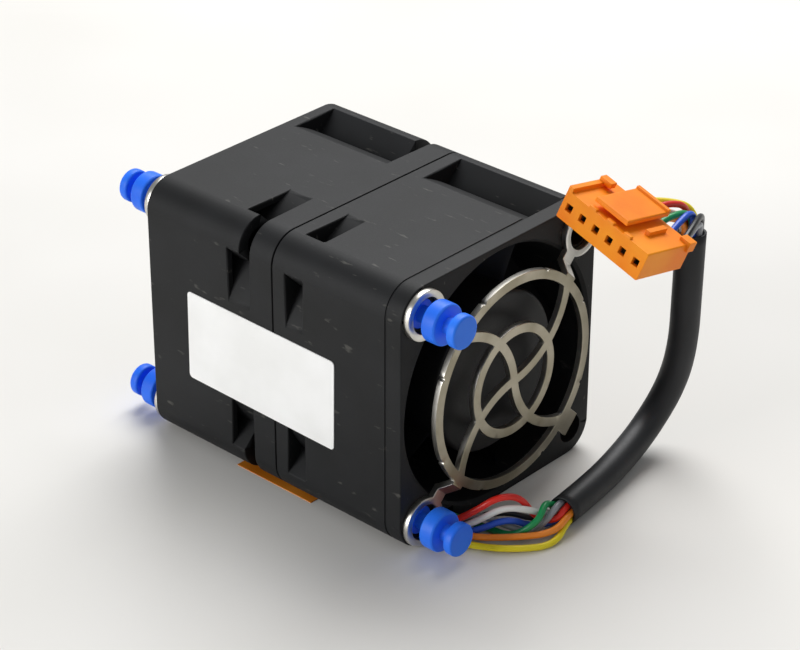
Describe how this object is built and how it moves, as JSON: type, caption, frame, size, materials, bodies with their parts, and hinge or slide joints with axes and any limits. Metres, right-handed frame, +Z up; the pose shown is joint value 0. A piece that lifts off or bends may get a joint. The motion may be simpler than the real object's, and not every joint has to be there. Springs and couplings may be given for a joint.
{
  "type": "server cooling fan",
  "caption": "Counter-rotating server fan with wire finger guards, blue isolator pins and a sleeved cable to an orange plug.",
  "frame": {"origin": "on the face that the fan lies on, under the middle of both frames", "axes": "+X along the rotor axis towards the intake guard, +Z up, label side towards -Y"},
  "size_m": [0.0733, 0.0505, 0.0459],
  "materials": {
    "frame_plastic": "matt, fine grain",
    "rotor_plastic": "satin",
    "plated_steel": "bright plated, brushed by handling",
    "blue_silicone": "soft satin",
    "motor_steel": "turned",
    "magnet": "matt bonded ferrite",
    "brass": "turned",
    "laminations": "stacked sheet",
    "copper": "enamelled wire",
    "board": "solder mask",
    "label_film": "satin",
    "amber_tape": "clear amber film",
    "sleeve_black": "soft sheen",
    "plug_orange": "satin",
    "tin": "tinned",
    "wire_red": "satin",
    "wire_black": "satin",
    "wire_white": "satin",
    "wire_grey": "satin",
    "wire_blue": "satin",
    "wire_green": "satin",
    "wire_orange": "satin",
    "wire_yellow": "satin"
  },
  "bodies": {
    "frame": {"cable_sleeve": "sleeve_black", "connector_contacts": "tin", "connector_housing": "plug_orange", "front_bearing_outer_rings": "motor_steel", "front_bearing_tube": "brass", "front_circuit_board": "board", "front_guard": "plated_steel", "front_housing": "frame_plastic", "front_lower_isolator_pin": "blue_silicone", "front_stator_core": "laminations", "front_upper_isolator_pin": "blue_silicone", "front_windings": "copper", "label": "label_film", "rear_bearing_outer_rings": "motor_steel", "rear_bearing_tube": "brass", "rear_circuit_board": "board", "rear_guard": "plated_steel", "rear_housing": "frame_plastic", "rear_lower_isolator_pin": "blue_silicone", "rear_stator_core": "laminations", "rear_upper_isolator_pin": "blue_silicone", "rear_windings": "copper", "wire_black": "wire_black", "wire_blue": "wire_blue", "wire_green": "wire_green", "wire_grey": "wire_grey", "wire_orange": "wire_orange", "wire_red": "wire_red", "wire_tape": "amber_tape", "wire_white": "wire_white", "wire_yellow": "wire_yellow"},
    "front_rotor": {"front_impeller": "rotor_plastic", "front_rotor_cup": "motor_steel", "front_magnet_ring": "magnet", "front_shaft": "motor_steel", "front_shaft_clip": "motor_steel", "front_bearing_inner_rings": "motor_steel", "front_preload_washer": "motor_steel"},
    "rear_rotor": {"rear_impeller": "rotor_plastic", "rear_rotor_cup": "motor_steel", "rear_magnet_ring": "magnet", "rear_shaft": "motor_steel", "rear_shaft_clip": "motor_steel", "rear_bearing_inner_rings": "motor_steel", "rear_preload_washer": "motor_steel"},
    "latch": {"connector_latch": "plug_orange"}
  },
  "joints": [
    {"name": "front_rotor_spin", "type": "hinge", "parent": "frame", "child": "front_rotor", "pos_m": [0, 0, 0.02], "axis": [1, 0, 0], "continuous": true},
    {"name": "rear_rotor_spin", "type": "hinge", "parent": "frame", "child": "rear_rotor", "pos_m": [0, 0, 0.02], "axis": [1, 0, 0], "continuous": true},
    {"name": "latch_press", "type": "hinge", "parent": "frame", "child": "latch", "pos_m": [0.03341, 0.01495, 0.04282], "axis": [0.958, -0.058, -0.281], "range_deg": [-6, 0], "stiffness_Nm_per_rad": 0.02}
  ]
}
